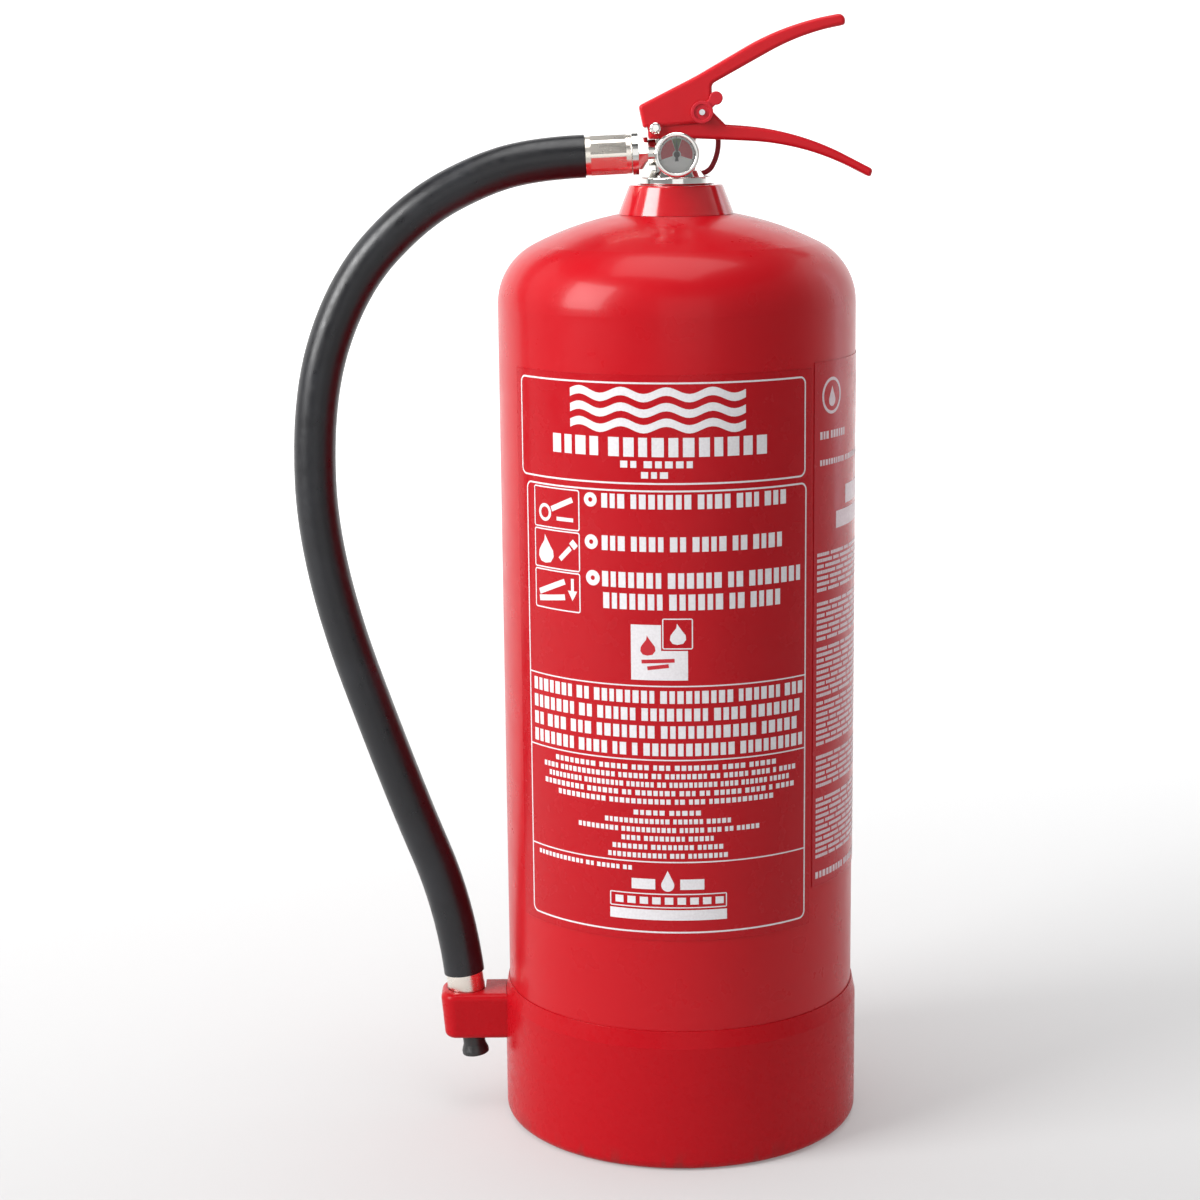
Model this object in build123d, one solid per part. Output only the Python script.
from build123d import *
import os
from math import acos, atan2, cos, degrees, pi, radians, sin, sqrt, tan

# A 9 litre stored-pressure water extinguisher, in millimetres.
# The origin is the middle of the foot, on the cylinder's axis, and +Z is up.
# The hose is on the -X side, the carrying handle points to +X, and the gauge faces -Y.

os.makedirs("parts", exist_ok=True)

# Driving dimensions of the pressure vessel.
CYLINDER_R = 95.0
WALL = 1.5
CROWN_R = 167.0
KNUCKLE_R = 35.0
SHOULDER_Z = 450.0
BASE_SHOULDER_Z = 58.0
BASE_WELD_Z = 66.0
CROWN_DROP = sqrt((CROWN_R - KNUCKLE_R) ** 2 - (CYLINDER_R - KNUCKLE_R) ** 2)
FIT = 0.1

# Foot and its hose clip.
FOOT_R = 97.5
FOOT_TOP_Z = 77.0
FOOT_FLOOR = 3.0
GRIP_R = CYLINDER_R + FIT
CLIP_BOTTOM_Z = 42.5
CLIP_TOP_Z = 69.0
CLIP_HALF_WIDTH = 15.0
CLIP_X = -133.7
CLIP_CORNER_R = 9.0
CLIP_DRAFT_DEG = 5.0

# Neck and valve.
BOSS_R = 19.9
BOSS_BORE_R = 15.5
NECK_Z = 512.0
FLANGE_R = 19.0
FLANGE_TOP_Z = 516.0
VALVE_TOP_Z = 535.6
STEM_R = 3.0
STEM_TOP_Z = 559.85
GUIDE_Z = 497.0
OUTLET_Z = 528.9
OUTLET_TILT_DEG = 2.3

# Lever, handle and their pins, as places in the XZ plane.
SHEET = 1.6
LEVER_HALF_WIDTH = 12.0
HANDLE_HALF_WIDTH = 10.0
RIVET = (-10.9, 541.3)
PIN = (13.3, 549.2)
PIN_R = 1.5
LEVER_TRAVEL_DEG = 9.0
BEND_R = 2.0
SCREW_PLACES = [(7.0, -5.5), (7.0, 5.5)]

# Pull ring: half width, half height and section radius of its oval.
RING_HALF_WIDTH = 9.9
RING_HALF_HEIGHT = 16.2
RING_SECTION_R = 1.4
RING_END_R = 7.6
RING_Y = 18.5

# Gauge.
GAUGE = (-0.3, 528.0)
GAUGE_R = 10.8
BEZEL_R = 11.55

# Hose: its route's corner points in the XZ plane, from the valve down to the nozzle.
# The first two lie on the outlet's axis, this far along it.
HOSE_R = 11.25
HOSE_BORE_R = 6.3
CRIMPED_R = 9.2
HOSE_START = 47.7
FIRST_BEND = 71.7
LOWER_ROUTE = [
    (-101.1, 519.0),
    (-138.1, 499.8),
    (-174.6, 461.1),
    (-195.7, 399.9),
    (-194.0, 308.9),
    (-151.4, 183.2),
    (-125.0, 116.7),
    (-120.6, 78.5),
]
CORNER_SHARE = 0.45
FERRULE_R = 10.3
NOZZLE_FERRULE_LENGTH = 27.0
NOZZLE_LENGTH = 48.6
NECK_R = 6.15
CLIP_GAP = 0.4

# Labels: their side edges as angles in degrees from the front, positive towards +X.
LABEL_THICKNESS = 0.25
FRONT_LABEL_ANGLES = (-62.0, 44.2)
FRONT_LABEL_Z = (127.0, 421.5)
SIDE_LABEL_ANGLES = (45.6, 150.0)
SIDE_LABEL_Z = (146.0, 424.0)

# The outlet's local +Z runs out to -X and slightly down, and the gauge's runs forward along -Y.
OUTLET_AXIS = Pos(0, 0, OUTLET_Z) * Rot(0, -90 - OUTLET_TILT_DEG, 0)
GAUGE_AXIS = Pos(GAUGE[0], 0, GAUGE[1]) * Rot(90, 0, 0)
CROSSWISE = Rot(90, 0, 0)


def turned(outline, corner_radii=None):
    """Turn a closed outline of (radius, height) points about the Z axis."""
    if corner_radii:
        edges = FilletPolyline(*outline, radius=corner_radii, close=True)
    else:
        edges = Polyline(*outline, close=True)
    return revolve(Plane.XZ * make_face(edges), Axis.Z)


def tube(outer, inner, bottom, top):
    """A plain tube on the Z axis."""
    return turned([(inner, bottom), (outer, bottom), (outer, top), (inner, top)])


def rod(radius, bottom, top):
    """A plain rod on the Z axis."""
    return turned([(0, bottom), (radius, bottom), (radius, top), (0, top)])


def around(shape, radius, count):
    """Copies of a shape, evenly spaced on a circle about the Z axis."""
    return Compound([place * shape for place in PolarLocations(radius, count)])


def slab(face, half_width):
    """Extrude a face drawn in (x, z) to both sides of the XZ plane."""
    return extrude(Plane.XZ * face, half_width, both=True)


def rounded(corners):
    """A face from (x, z, corner radius) points."""
    points = [(x, z) for x, z, radius in corners]
    return make_face(FilletPolyline(*points, radius=[c[2] for c in corners], close=True))


def round_bends(block, is_bend):
    """Round a slab's side edges whose middles pass a test, as where sheet is bent."""
    sides = block.faces().filter_by(Axis.Y)
    bends = [edge for side in sides for edge in side.edges() if is_bend(edge.center())]
    return fillet(bends, BEND_R)


# Pressure vessel


def dished_shell(straight, hole):
    """A torispherical end with a straight flange below it, its shoulder at z = 0."""
    joint_angle = degrees(atan2(CROWN_DROP, CYLINDER_R - KNUCKLE_R))
    edges = []
    ends = []
    for inset in (0, WALL):
        crown = CROWN_R - inset
        crown_sweep = degrees(acos(hole / crown)) - joint_angle
        flange = Line((CYLINDER_R - inset, -straight), (CYLINDER_R - inset, 0))
        knuckle = CenterArc((CYLINDER_R - KNUCKLE_R, 0), KNUCKLE_R - inset, 0, joint_angle)
        cap = CenterArc((0, -CROWN_DROP), crown, joint_angle, crown_sweep)
        edges += [flange, knuckle, cap]
        ends.append((flange @ 0, cap @ 1))
    edges += [Line(ends[0][0], ends[1][0]), Line(ends[0][1], ends[1][1])]
    return revolve(Plane.XZ * make_face(edges), Axis.Z)


def cylinder_shell():
    return Pos(0, 0, SHOULDER_Z) * dished_shell(SHOULDER_Z - BASE_WELD_Z, BOSS_R + FIT)


def base_dome():
    shell = dished_shell(BASE_WELD_Z - BASE_SHOULDER_Z, 0)
    return Pos(0, 0, BASE_SHOULDER_Z) * Rot(180, 0, 0) * shell


def neck_boss():
    """Welded neck ring, with a groove in its top for the O-ring."""
    top = NECK_Z - FIT
    groove_r = 18.5
    groove_z = NECK_Z - 2.7
    return turned(
        [
            (BOSS_BORE_R, 489),
            (BOSS_R, 489),
            (BOSS_R, top),
            (groove_r, top),
            (groove_r, groove_z),
            (BOSS_BORE_R, groove_z),
        ]
    )


def neck_o_ring():
    return Pos(0, 0, NECK_Z - 1.4) * Torus(17.0, 1.3)


def neck_collar():
    """Conical collar that sits on the dome round the neck."""
    cone = turned(
        [(BOSS_R + 0.3, 494), (31.7, 494), (24.6, NECK_Z), (BOSS_R + 0.3, NECK_Z)],
        [0, 0, 1.5, 0.5],
    )
    dome = Pos(0, 0, SHOULDER_Z - CROWN_DROP) * Sphere(CROWN_R + FIT)
    return cone - dome


# Foot


def nozzle_place():
    """The end of the hose, with local -Z running down the nozzle."""
    (x0, z0), (x1, z1) = LOWER_ROUTE[-2:]
    lean = degrees(atan2(x0 - x1, z0 - z1))
    return Pos(x1, 0, z1) * Rot(0, lean, 0)


def clip_slot(radius, top, bottom):
    """A U-shaped slot along the nozzle, open towards +Y."""
    height = top - bottom
    middle = (top + bottom) / 2
    length = 40.0
    round_end = Cylinder(radius, height)
    opening = Pos(0, length / 2, 0) * Box(2 * radius, length, height)
    return nozzle_place() * Pos(0, 0, middle) * (round_end + opening)


def base_skirt():
    """Foot ring that grips the wall's lower end."""
    return turned(
        [
            (FOOT_R, 0),
            (FOOT_R, 68.0),
            (95.7, FOOT_TOP_Z),
            (GRIP_R, FOOT_TOP_Z),
            (GRIP_R, FOOT_FLOOR),
            (80.0, FOOT_FLOOR),
            (80.0, 0),
        ],
        [5, 1.5, 0.2, 0, 0, 1, 1],
    )


def skirt_ribs():
    """Ribs inside the foot ring, under the base."""
    height = 27.5
    rib = Box(10.9, 2.0, height)
    return Pos(0, 0, FOOT_FLOOR + height / 2) * around(rib, 89.6, 12)


def hose_clip():
    """Clip on the foot ring's -X side that holds the nozzle."""
    inner_x = -80.0
    plan = RectangleRounded(inner_x - CLIP_X, 2 * CLIP_HALF_WIDTH, CLIP_CORNER_R)
    top = Pos((inner_x + CLIP_X) / 2, 0, CLIP_TOP_Z) * plan
    block = extrude(top, CLIP_BOTTOM_Z - CLIP_TOP_Z, taper=CLIP_DRAFT_DEG)
    ends = block.faces().sort_by(Axis.Z)
    block = fillet(ends[0].edges() + ends[-1].edges(), 3.4)
    step = -NOZZLE_FERRULE_LENGTH - 0.3
    wide = clip_slot(FERRULE_R + CLIP_GAP, 20, step)
    narrow = clip_slot(NECK_R + CLIP_GAP, 0, -60)
    return block - rod(FOOT_R, 0, 100) - wide - narrow


# Valve


def valve_body():
    """Plated brass valve: threaded shank, flange, column, outlet and gauge port."""
    shank = rod(BOSS_BORE_R - FIT, 486, NECK_Z)
    flange = turned(
        [(0, NECK_Z), (FLANGE_R, NECK_Z), (FLANGE_R, FLANGE_TOP_Z), (0, FLANGE_TOP_Z)],
        [0, 0.8, 0.8, 0],
    )
    column_height = VALVE_TOP_Z - FLANGE_TOP_Z
    column = Pos(-0.25, 0, FLANGE_TOP_Z + column_height / 2) * Box(21.5, 20, column_height)
    column = fillet(column.edges().filter_by(Axis.Z), 3.0)
    foot = turned([(0, 515), (15.5, 515), (13.0, 519.5), (0, 519.5)])
    outlet = OUTLET_AXIS * (rod(6.9, 8, 14.4) + rod(6.5, 8, 16.2))
    gauge_port = GAUGE_AXIS * rod(6.0, 8, 13.0)
    solid = shank + flange + foot + column + outlet + gauge_port
    bores = rod(STEM_R + 0.05, 528, 540) + rod(6.0, 517, 529) + rod(4.5, 514, 518)
    bores += rod(7.0, GUIDE_Z, 515) + rod(7.35, 480, GUIDE_Z)
    solid -= bores
    solid -= OUTLET_AXIS * rod(3.5, 5, 20)
    solid -= GAUGE_AXIS * (rod(1.0, 5, 14) + rod(4.0, 9, 14))
    for x, y in SCREW_PLACES:
        solid -= Pos(x, y, 0) * rod(1.95, 527.5, 540)
    return solid


def valve_stem():
    """Plunger that the lever presses, with its seal head and O-ring groove."""
    outline = [
        (0, 492),
        (2.5, 492),
        (2.5, 511.5),
        (6.5, 511.5),
        (6.5, 513.5),
        (STEM_R, 513.5),
        (STEM_R, 533.7),
        (1.7, 533.7),
        (1.7, 535.1),
        (STEM_R, 535.1),
        (STEM_R, STEM_TOP_Z),
        (0, STEM_TOP_Z),
    ]
    return turned(outline, [0] * 10 + [2.9, 0])


def stem_spring():
    """Coil that pushes the stem up against its seat."""
    coil_r = 5.3
    wire_r = 0.55
    path = Pos(0, 0, GUIDE_Z + 0.65) * Helix(pitch=2.2, height=13.2, radius=coil_r)
    section = Plane(origin=path @ 0, z_dir=path % 0) * Circle(wire_r)
    return sweep(section, path=path, is_frenet=True)


def stem_guide():
    """Threaded ring under the spring, with holes for the water."""
    ring = tube(7.3, 2.6, GUIDE_Z - 3, GUIDE_Z)
    hole = rod(1.2, GUIDE_Z - 4, GUIDE_Z + 1)
    return ring - around(hole, 4.9, 4)


def dip_tube():
    return tube(7.3, 5.8, 20, GUIDE_Z - 3)


def dip_tube_strainer():
    """Slotted cup on the foot of the dip tube."""
    cup = turned([(0, 14), (9, 14), (9, 36), (7.4, 36), (7.4, 16), (0, 16)])
    slot = Pos(0, 0, 18) * Box(4, 1.5, 3)
    return cup - around(slot, 9, 8)


# Gauge, drawn with its height running forward from the valve's axis


def gauge_stub():
    stub = rod(3.95, 9.1, 13.05) + rod(3.2, 17, 22.2)
    nut = Pos(0, 0, 13.05) * extrude(RegularPolygon(5.8, 6), 4.0)
    return GAUGE_AXIS * (stub + nut - rod(0.8, 8, 21.5))


def gauge_case():
    rim = GAUGE_R - 1.0
    outline = [(3.3, 20), (GAUGE_R, 20), (GAUGE_R, 28.5), (rim, 28.5), (rim, 21), (3.3, 21)]
    return GAUGE_AXIS * turned(outline)


def bourdon_tube():
    """C-shaped spring tube that uncoils with pressure, fed from the stub."""
    arc_r = 7.0
    section = Plane.XZ * Pos(arc_r, 0) * Circle(0.8)
    coil = revolve(section, Axis.Z, 260)
    feed = Pos(4.9, 0, 0) * Rot(0, 90, 0) * Cylinder(0.8, 3.3)
    return GAUGE_AXIS * Pos(0, 0, 22.9) * Rot(0, 0, -130) * (coil + feed)


def gauge_dial():
    return GAUGE_AXIS * tube(9.7, 0.95, 25.4, 25.9)


def gauge_needle():
    """Pointer with its arbor, pointing up in the green at rest."""
    arbor = rod(0.85, 23.9, 26.4)
    hub = rod(1.6, 26.4, 27.2)
    pointer = make_face(Polyline((-0.7, 0), (0.7, 0), (0.15, 7.6), (-0.15, 7.6), close=True))
    tail = make_face(Polyline((-0.5, 0), (0.5, 0), (0.9, -3.4), (-0.9, -3.4), close=True))
    blade = Pos(0, 0, 26.5) * extrude(pointer + tail, 0.4)
    return GAUGE_AXIS * (arbor + hub + blade)


def gauge_lens():
    return GAUGE_AXIS * rod(GAUGE_R, 28.5, 29.5)


def gauge_bezel():
    outline = [
        (GAUGE_R + FIT, 24.5),
        (BEZEL_R, 24.5),
        (BEZEL_R, 31),
        (9.4, 31),
        (9.4, 29.5),
        (GAUGE_R + FIT, 29.5),
    ]
    return GAUGE_AXIS * turned(outline, [0, 0.3, 1.2, 0.6, 0, 0])


# Lever and handle, pressed from sheet


def lever_face():
    """Side outline of the lever, with the ears round its rivet and its pin."""
    body = rounded(
        [
            (-17.1, 541.4, 1.0),
            (-19.45, 552.7, 2.2),
            (11.0, 567.8, 60),
            (57.7, 594.25, 137),
            (88.3, 599.05, 3.5),
            (87.3, 592.8, 1.5),
            (64.6, 588.4, 120),
            (18.6, 563.5, 3.0),
            (18.9, 543.8, 5.2),
        ]
    )
    return body + Pos(*RIVET) * Circle(3.8)


def lever_hollow():
    """Everything inside the lever's web, open at the bottom."""
    skin = rounded(
        [
            (-8.5, 500, 0),
            (-19.45, 552.7, 2.2),
            (11.0, 567.8, 60),
            (57.7, 594.25, 137),
            (88.3, 599.05, 3.5),
            (72.5, 500, 0),
        ]
    )
    return offset(skin, -SHEET)


def arc_slot(centre, start, sweep_deg, half_width):
    """A slot of round ends, along an arc about a centre, from a starting point."""
    reach = sqrt((start[0] - centre[0]) ** 2 + (start[1] - centre[1]) ** 2)
    angle = atan2(start[1] - centre[1], start[0] - centre[0])
    end_angle = angle + radians(sweep_deg)
    end = (centre[0] + reach * cos(end_angle), centre[1] + reach * sin(end_angle))
    band = Pos(*centre) * (Circle(reach + half_width) - Circle(reach - half_width))
    far = reach * 2
    wedge = make_face(
        Polyline(
            centre,
            (centre[0] + far * cos(angle), centre[1] + far * sin(angle)),
            (centre[0] + far * cos(end_angle), centre[1] + far * sin(end_angle)),
            close=True,
        )
    )
    return (band & wedge) + Pos(*start) * Circle(half_width) + Pos(*end) * Circle(half_width)


def on_lever_web(place):
    """True along the lever's back, top and tip."""
    at_tip = place.X > 80 and place.Z > 594
    return place.X < -17.5 or place.Z > 559.5 + 0.5 * place.X or at_tip


def squeeze_lever():
    """Operating lever: a channel open below, hinged on the rivet."""
    lever = round_bends(slab(lever_face(), LEVER_HALF_WIDTH), on_lever_web)
    lever -= slab(lever_hollow(), LEVER_HALF_WIDTH - SHEET)
    lever -= slab(Pos(*RIVET) * Circle(2.05), 20)
    lever -= slab(arc_slot(RIVET, PIN, LEVER_TRAVEL_DEG + 0.3, PIN_R + 0.15), 20)
    return lever


def on_handle_web(place):
    """True along the handle's underside and tip."""
    return place.X > -10 and place.Z < 536.2 - 0.45 * max(0, place.X - 60)


def carry_handle():
    """Carrying handle: a channel open above, with cheeks for the rivet and the pin."""
    cheek = rounded(
        [
            (-14.4, VALVE_TOP_Z, 0.8),
            (-14.4, 545.6, 3.0),
            (-6.0, 546.4, 6.0),
            (7.5, 553.6, 4.0),
            (15.0, 553.6, 3.0),
            (25.9, 542.62, 1.5),
            (63.1, 539.65, 138),
            (102.9, 518.95, 2.0),
            (101.6, 514.7, 1.2),
            (67.06, 532.65, 137),
            (10.5, VALVE_TOP_Z, 0),
        ]
    )
    hull = rounded(
        [
            (-40, 600, 0),
            (-40, VALVE_TOP_Z, 0),
            (10.5, VALVE_TOP_Z, 0),
            (67.06, 532.65, 137),
            (101.6, 514.7, 1.2),
            (127.7, 600, 0),
        ]
    )
    handle = round_bends(slab(cheek, HANDLE_HALF_WIDTH), on_handle_web)
    handle -= slab(offset(hull, -SHEET), HANDLE_HALF_WIDTH - SHEET)
    handle -= slab(Pos(*RIVET) * Circle(2.05), 20)
    handle -= slab(Pos(*PIN) * Circle(PIN_R + FIT), 20)
    handle -= rod(4.5, 530, 540)
    for x, y in SCREW_PLACES:
        handle -= Pos(x, y, 0) * rod(2.1, 530, 540)
    return handle


def handle_screws():
    """The two screws through the handle's web into the valve."""
    head_z = VALVE_TOP_Z + SHEET
    screw = rod(1.9, 528, head_z) + turned(
        [(0, head_z), (2.9, head_z), (2.9, head_z + 2.0), (0, head_z + 2.0)], [0, 0, 1.0, 0]
    )
    return Compound([Pos(x, y, 0) * screw for x, y in SCREW_PLACES])


def pivot_rivet():
    """Hinge rivet with a domed head at each end."""
    head_y = LEVER_HALF_WIDTH + 0.05
    outline = [
        (0, -head_y - 2),
        (3.2, -head_y - 2),
        (3.2, -head_y),
        (2.0, -head_y),
        (2.0, head_y),
        (3.2, head_y),
        (3.2, head_y + 2),
        (0, head_y + 2),
    ]
    rivet = turned(outline, [0, 1.8, 0, 0, 0, 0, 1.8, 0])
    return Pos(RIVET[0], 0, RIVET[1]) * CROSSWISE * rivet


def safety_pin():
    """Pin across the handle, with a shoulder and an eye for its ring at the +Y end."""
    shank = rod(PIN_R, -15.4, 16.0)
    shoulder = rod(2.7, 12.3, 13.5)
    eye = Pos(0, 0, RING_Y) * Rot(0, 90, 0) * (Cylinder(3.6, 2.2) - Cylinder(1.8, 4))
    return Pos(PIN[0], 0, PIN[1]) * Rot(-90, 0, 0) * (shank + shoulder + eye)


def pull_ring():
    """Oval ring of four arcs, hanging from the pin's eye."""
    a = RING_HALF_HEIGHT
    b = RING_HALF_WIDTH
    end_r = RING_END_R
    side_r = (b**2 + (a - end_r) ** 2 - end_r**2) / (2 * (b - end_r))
    half_end = degrees(atan2(side_r - b, a - end_r))
    half_side = 90 - half_end
    arcs = [
        CenterArc((0, a - end_r), end_r, 90 - half_end, 2 * half_end),
        CenterArc((side_r - b, 0), side_r, 180 - half_side, 2 * half_side),
        CenterArc((0, end_r - a), end_r, 270 - half_end, 2 * half_end),
        CenterArc((b - side_r, 0), side_r, -half_side, 2 * half_side),
    ]
    path = Plane.XZ * Wire(arcs)
    section = Plane(origin=path @ 0, z_dir=path % 0) * Circle(RING_SECTION_R)
    ring = sweep(section, path=path)
    return Pos(PIN[0], RING_Y, PIN[1] - a) * ring


def tamper_seal():
    """Breakable seal: a rimmed disc round the pin's front end, with a tab beside it."""
    tab = (20.6, 556.3)
    back = -LEVER_HALF_WIDTH - 0.3
    disc = Pos(*PIN) * Circle(5.8)
    middle = ((PIN[0] + tab[0]) / 2, (PIN[1] + tab[1]) / 2)
    bridge = Pos(*middle) * Rot(0, 0, 45) * Rectangle(9, 4.5)
    outline = disc + bridge + Pos(*tab) * Circle(3.5)
    plate = Pos(0, back, 0) * extrude(Plane.XZ * outline, 2.0)
    plate = fillet(plate.faces().sort_by(Axis.Y)[0].edges(), 0.6)
    rim = Pos(0, back - 1.9, 0) * extrude(Plane.XZ * (disc - Pos(*PIN) * Circle(4.0)), 0.9)
    rim = fillet(rim.faces().sort_by(Axis.Y)[0].edges(), 0.35)
    return plate + rim - slab(Pos(*PIN) * Circle(PIN_R + FIT), 20)


# Hose and nozzle


def hose_nut():
    """Hexagon nut that clamps the hose tail to the outlet."""
    hexagon = Pos(0, 0, 14.6) * Rot(0, 0, 30) * extrude(RegularPolygon(9.5, 6), 5.0)
    chamfer = turned([(0, 14.6), (8.9, 14.6), (9.6, 15.2), (9.6, 19.0), (8.9, 19.6), (0, 19.6)])
    return OUTLET_AXIS * ((hexagon & chamfer) - rod(6.55, 13, 18.6) - rod(5.3, 13, 21))


def hose_washer():
    return OUTLET_AXIS * tube(6.3, 3.6, 16.2, 17.35)


def hose_tail():
    """Tail piece: swivel flange, shoulder, and barbs inside the hose."""
    barbs = [(6.0 if k % 2 else 5.4, 26 + 2.5 * k) for k in range(8)]
    outline = [
        (3.5, 17.4),
        (6.4, 17.4),
        (6.4, 18.5),
        (5.2, 18.5),
        (5.2, 19.7),
        (11.1, 19.7),
        (11.1, 22.9),
        (5.4, 22.9),
    ]
    return OUTLET_AXIS * turned(outline + barbs + [(3.5, 43.5)])


def hose_ferrule():
    """Crimped sleeve with eight flats pressed along it."""
    end = HOSE_START
    sleeve = turned(
        [(6.1, 23), (FERRULE_R, 23), (FERRULE_R, end), (9.25, end), (9.25, 24), (6.1, 24)],
        [0, 0.6, 0.4, 0, 0, 0],
    )
    flats = rod(FERRULE_R + 2, 26, end - 3)
    flats -= Pos(0, 0, 20) * extrude(RegularPolygon(FERRULE_R + 0.35, 8), 40)
    return OUTLET_AXIS * (sleeve - flats)


def hose_path():
    """The hose's centreline: straight runs joined by arcs as large as the runs allow."""
    on_outlet = [(OUTLET_AXIS * Pos(0, 0, far)).position for far in (HOSE_START, FIRST_BEND)]
    points = on_outlet + [Vector(x, 0, z) for x, z in LOWER_ROUTE]
    bend_radii = []
    for before, corner, after in zip(points, points[1:], points[2:]):
        run_in = corner - before
        run_out = after - corner
        turn = radians(run_in.get_angle(run_out))
        shorter = min(run_in.length, run_out.length)
        bend_radii.append(CORNER_SHARE * shorter / tan(turn / 2))
    return FilletPolyline(*points, radius=bend_radii), bend_radii


def discharge_hose():
    """Rubber hose, its ends crimped thinner inside the two ferrules."""
    path, bend_radii = hose_path()
    section = Plane(origin=path @ 0, z_dir=path % 0) * (Circle(HOSE_R) - Circle(HOSE_BORE_R))
    hose = sweep(section, path=path)
    expected = pi * (HOSE_R**2 - HOSE_BORE_R**2) * path.length
    print("hose length", round(path.length, 1), "bend radii", [round(r) for r in bend_radii])
    print("hose volume over section times length", round(hose.volume / expected, 4))
    upper_end = OUTLET_AXIS * tube(CRIMPED_R, HOSE_BORE_R, 24.2, HOSE_START)
    lower_end = nozzle_place() * tube(CRIMPED_R, HOSE_BORE_R, -24, 0)
    return hose + upper_end + lower_end


def nozzle_ferrule():
    bottom = -NOZZLE_FERRULE_LENGTH
    outline = [
        (9.25, 0),
        (FERRULE_R, 0),
        (FERRULE_R, bottom),
        (6.95, bottom),
        (6.95, bottom + 1.2),
        (9.25, bottom + 1.2),
    ]
    return nozzle_place() * turned(outline, [0, 0.4, 0.8, 0, 0, 0])


def nozzle_body():
    """Barbed brass tail of the nozzle, with a stub that the tip screws onto."""
    barbs = [(6.0 if k % 2 else 5.4, -22 + 2.5 * k) for k in range(9)]
    outline = [(3.6, -35), (5.0, -35), (5.0, -27.2), (6.85, -27.2), (6.85, -25.6), (8.8, -25.6)]
    outline += [(8.8, -24.3), (5.4, -24.3)] + barbs[1:] + [(3.6, -2)]
    return nozzle_place() * turned(outline)


def nozzle_tip():
    """Black jet with a flared lip below the clip."""
    bottom = -NOZZLE_LENGTH
    outline = [
        (5.05, -27.3),
        (NECK_R, -27.3),
        (NECK_R, -42.5),
        (7.45, -46.2),
        (7.45, bottom),
        (5.0, bottom),
        (3.2, -42.0),
        (3.2, -35.3),
        (5.05, -35.3),
    ]
    return nozzle_place() * turned(outline, [0, 0.5, 3.0, 0.8, 0.8, 0.5, 0, 0, 0])


# Labels


def label(angles, heights):
    """A thin film on the wall between two angles from the front."""
    inner = CYLINDER_R + FIT
    outline = [
        (inner, heights[0]),
        (inner + LABEL_THICKNESS, heights[0]),
        (inner + LABEL_THICKNESS, heights[1]),
        (inner, heights[1]),
    ]
    face = Plane.XZ * make_face(Polyline(*outline, close=True))
    return Rot(0, 0, angles[0] - 90) * revolve(face, Axis.Z, angles[1] - angles[0])


NODES = {
    "cylinder_shell": cylinder_shell(),
    "base_dome": base_dome(),
    "base_skirt": base_skirt(),
    "skirt_ribs": skirt_ribs(),
    "hose_clip": hose_clip(),
    "neck_boss": neck_boss(),
    "neck_o_ring": neck_o_ring(),
    "neck_collar": neck_collar(),
    "valve_body": valve_body(),
    "valve_stem": valve_stem(),
    "stem_seal": tube(6.5, STEM_R + 0.05, 513.5, 514.95),
    "stem_o_ring": Pos(0, 0, 534.4) * Torus(2.37, 0.64),
    "stem_spring": stem_spring(),
    "stem_guide": stem_guide(),
    "dip_tube": dip_tube(),
    "dip_tube_strainer": dip_tube_strainer(),
    "gauge_stub": gauge_stub(),
    "gauge_case": gauge_case(),
    "bourdon_tube": bourdon_tube(),
    "gauge_dial": gauge_dial(),
    "gauge_needle": gauge_needle(),
    "gauge_lens": gauge_lens(),
    "gauge_bezel": gauge_bezel(),
    "squeeze_lever": squeeze_lever(),
    "carry_handle": carry_handle(),
    "handle_screws": handle_screws(),
    "pivot_rivet": pivot_rivet(),
    "safety_pin": safety_pin(),
    "pull_ring": pull_ring(),
    "tamper_seal": tamper_seal(),
    "hose_nut": hose_nut(),
    "hose_washer": hose_washer(),
    "hose_tail": hose_tail(),
    "hose_ferrule": hose_ferrule(),
    "discharge_hose": discharge_hose(),
    "nozzle_ferrule": nozzle_ferrule(),
    "nozzle_body": nozzle_body(),
    "nozzle_tip": nozzle_tip(),
    "front_label": label(FRONT_LABEL_ANGLES, FRONT_LABEL_Z),
    "side_label": label(SIDE_LABEL_ANGLES, SIDE_LABEL_Z),
}

for name, shape in NODES.items():
    export_step(shape, f"parts/{name}.step")
